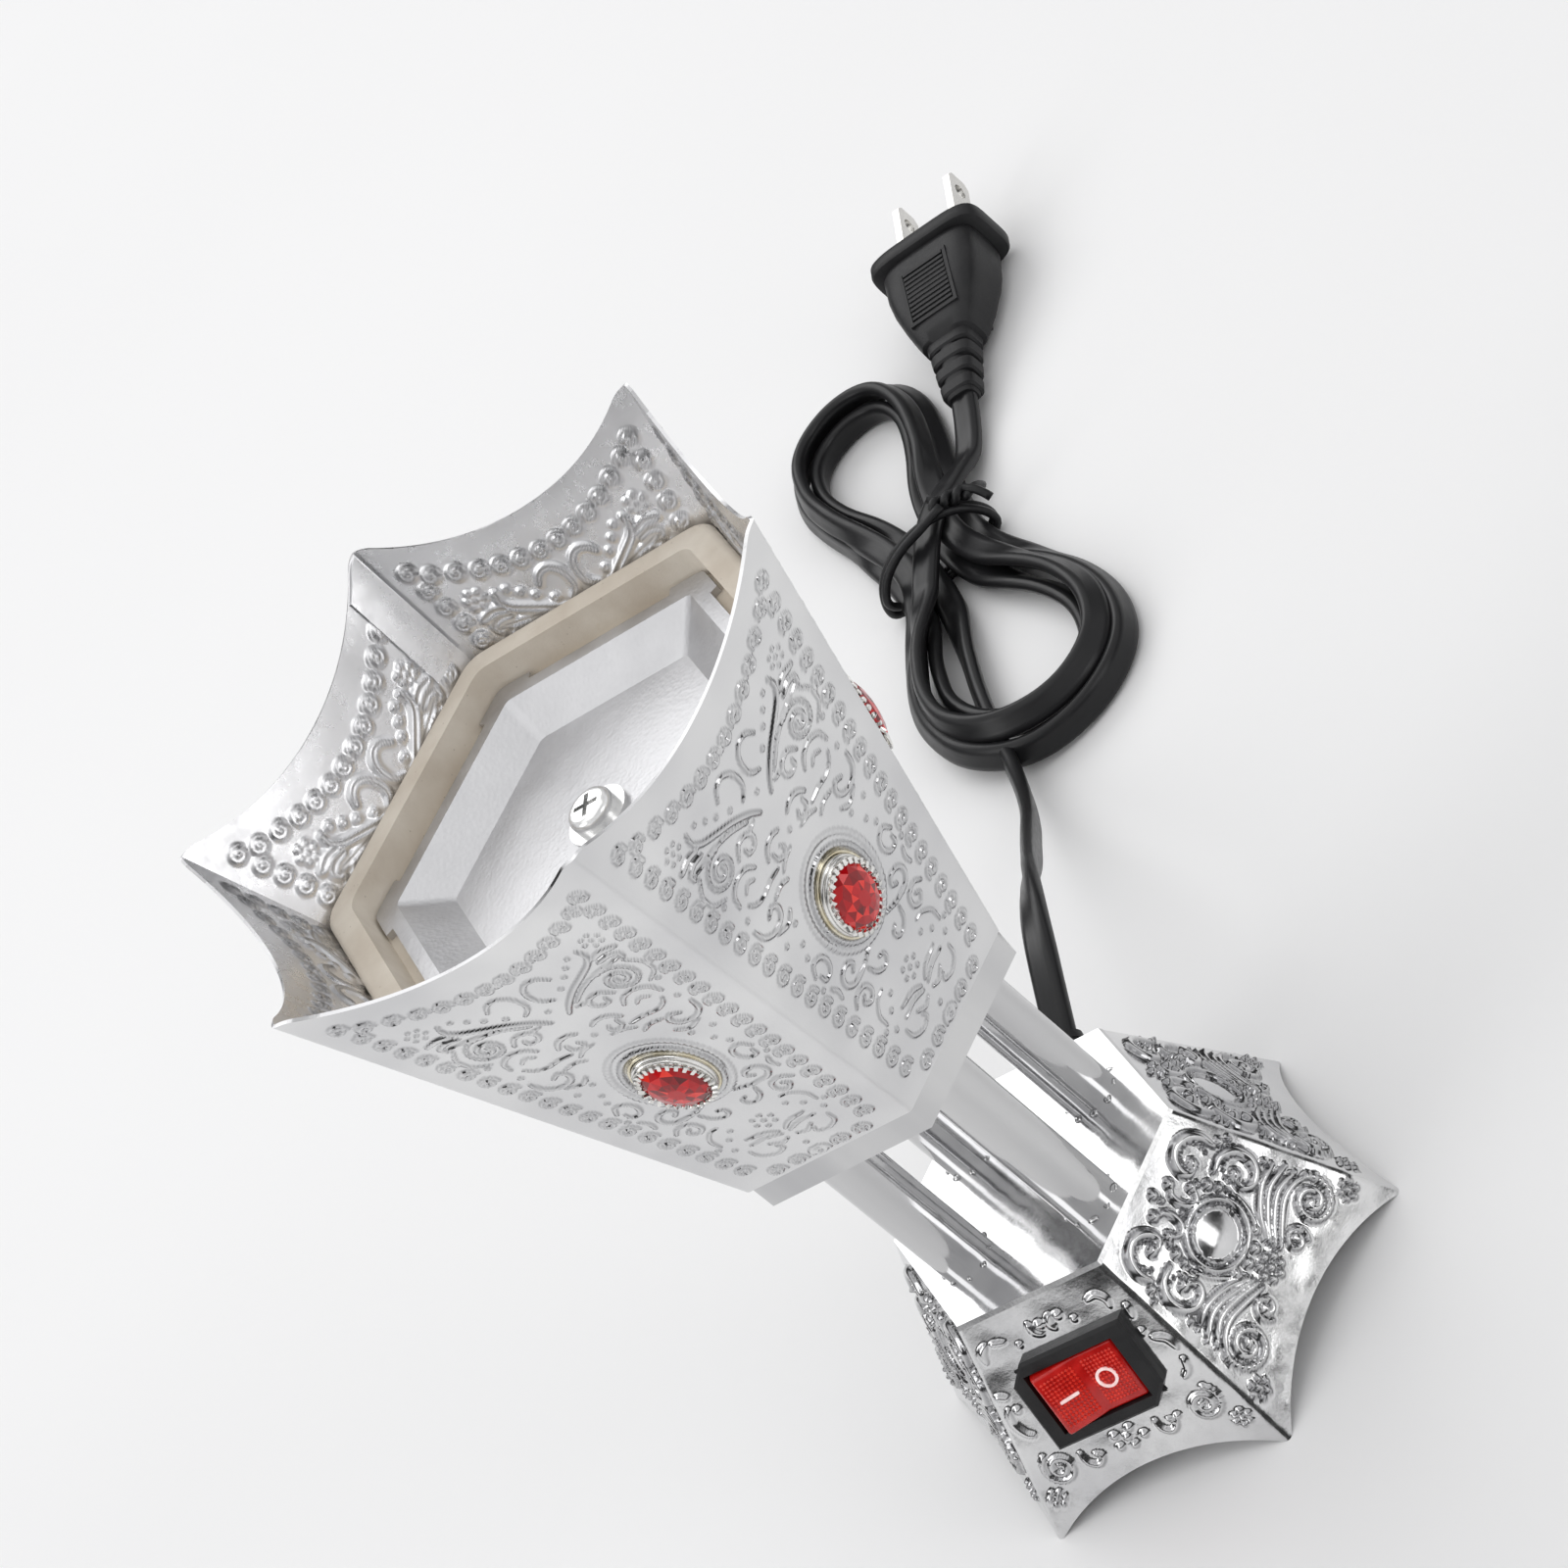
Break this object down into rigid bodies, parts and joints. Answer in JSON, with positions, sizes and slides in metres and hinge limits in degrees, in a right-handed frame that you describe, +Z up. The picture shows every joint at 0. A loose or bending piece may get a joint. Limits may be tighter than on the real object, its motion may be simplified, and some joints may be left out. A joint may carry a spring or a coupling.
{
  "type": "electric incense burner",
  "caption": "Electric incense burner: scalloped six-sided bowl with red stones and a heated tray, on four tubes over a flared foot with rocker switch and plug-in cord.",
  "frame": {"origin": "centre of the foot at floor level", "axes": "+Z up along the burner's axis, -Y out of the side with the switch, +Y out of the side where the cord leaves"},
  "size_m": [0.1329, 0.336, 0.1589],
  "materials": {
    "silver_sheet": "embossed bright silver sheet, satin inside",
    "polished_metal": "mirror polished plate and tube",
    "cover_steel": "plain zinc-plated sheet",
    "setting_silver": "bright stamped setting",
    "red_stone": "cut translucent red stone",
    "ceramic_cream": "unglazed cream ceramic with fine speckle",
    "tray_aluminium": "sand-blasted aluminium",
    "mica": "pressed mica sheet",
    "ribbon_alloy": "bare resistance ribbon",
    "screw_steel": "zinc-plated steel",
    "switch_black": "matt black moulding",
    "rocker_red": "translucent red moulding with a fine grid",
    "plunger_white": "natural moulding",
    "spring_steel": "spring wire",
    "contact_brass": "stamped brass",
    "lamp_glass": "small lamp envelope",
    "lead_copper": "tinned copper wire",
    "glass_sleeve": "glass-fibre sleeve",
    "core_brown": "insulated core",
    "core_blue": "insulated core",
    "splice_nylon": "closed-end splice",
    "relief_black": "flexible moulding",
    "cord_black": "satin flexible cord",
    "plug_black": "satin moulded plug",
    "blade_nickel": "nickel-plated blade"
  },
  "bodies": {
    "burner": {"bowl_shell": "silver_sheet", "base_skirt": "silver_sheet", "base_top_plate": "polished_metal", "bowl_pan": "polished_metal", "column_front_left": "polished_metal", "column_front_right": "polished_metal", "column_rear_right": "polished_metal", "column_rear_left": "polished_metal", "base_bottom_cover": "cover_steel", "gem_bezel_1": "setting_silver", "gem_bezel_2": "setting_silver", "gem_bezel_3": "setting_silver", "gem_bezel_4": "setting_silver", "gem_bezel_5": "setting_silver", "gem_bezel_6": "setting_silver", "gem_1": "red_stone", "gem_2": "red_stone", "gem_3": "red_stone", "gem_4": "red_stone", "gem_5": "red_stone", "gem_6": "red_stone", "ceramic_cup": "ceramic_cream", "incense_tray": "tray_aluminium", "mica_sheet_lower": "mica", "mica_sheet_upper": "mica", "heater_card": "mica", "heater_ribbon": "ribbon_alloy", "tray_screw": "screw_steel", "tray_washer": "screw_steel", "pan_washer": "screw_steel", "tray_nut": "screw_steel", "switch_housing": "switch_black", "terminal_supply": "contact_brass", "terminal_load": "contact_brass", "terminal_lamp": "contact_brass", "wire_receptacles": "contact_brass", "switch_lamp": "lamp_glass", "lamp_leads": "lead_copper", "heater_lead_live": "glass_sleeve", "heater_lead_neutral": "glass_sleeve", "core_live": "core_brown", "core_neutral": "core_blue", "lamp_lead": "core_blue", "wire_splice": "splice_nylon", "strain_relief": "relief_black", "cord_lead": "cord_black", "cord_hank": "cord_black", "cord_tail": "cord_black", "cord_tie": "cord_black", "plug_body": "plug_black", "plug_blade_left": "blade_nickel", "plug_blade_right": "blade_nickel"},
    "rocker": {"switch_rocker": "rocker_red", "switch_plunger": "plunger_white", "switch_spring": "spring_steel"},
    "contact": {"switch_contact": "contact_brass"}
  },
  "joints": [
    {"name": "rocker_tilt", "type": "hinge", "parent": "burner", "child": "rocker", "pos_m": [0, -0.02706, 0.01943], "axis": [0, -0.369, -0.9294], "range_deg": [0, 20]},
    {"name": "contact_tilt", "type": "hinge", "parent": "burner", "child": "contact", "pos_m": [0, -0.02065, 0.01688], "axis": [0, -0.369, -0.9294], "range_deg": [-14, 0]}
  ],
  "couplings": [
    {"joint": "contact_tilt", "follows": "rocker_tilt", "ratio": -0.7}
  ]
}
